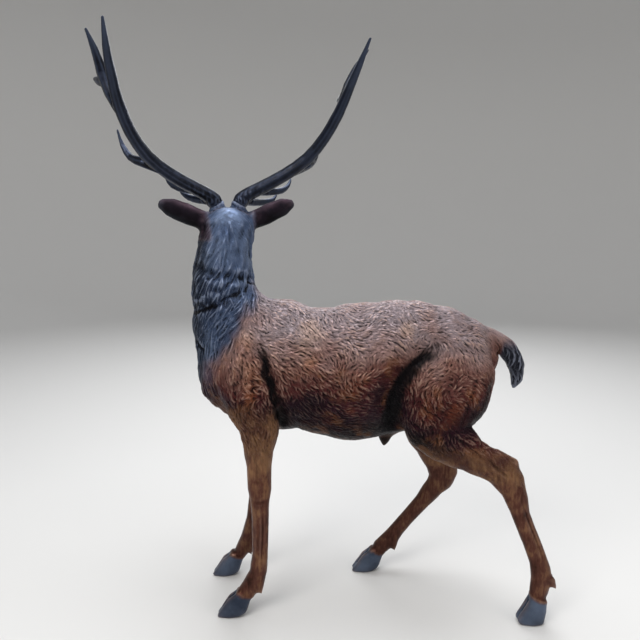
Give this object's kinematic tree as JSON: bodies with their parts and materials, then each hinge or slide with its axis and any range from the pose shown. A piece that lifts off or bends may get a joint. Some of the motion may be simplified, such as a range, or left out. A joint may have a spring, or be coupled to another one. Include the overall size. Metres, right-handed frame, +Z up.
{
  "type": "bronze stag sculpture",
  "caption": "Life-size bronze stag standing on its hooves, head turned away over its right side, with a shaggy neck, tufted coat and branching antlers.",
  "frame": {"origin": "middle of the bounding box, on the ground plane under the hooves", "axes": "-X the way the chest points, -Y the stag's left side, +Z up"},
  "size_m": [1.6672, 0.7832, 2.1148],
  "materials": {
    "brown_bronze": "cast bronze with a brown patina, blue-grey over the neck and hooves, semi-gloss wax",
    "dark_bronze": "cast bronze with a blue-black patina, semi-gloss wax"
  },
  "bodies": {
    "root": {"stag_body": "brown_bronze", "antler_left": "dark_bronze", "antler_right": "dark_bronze"}
  },
  "joints": []
}
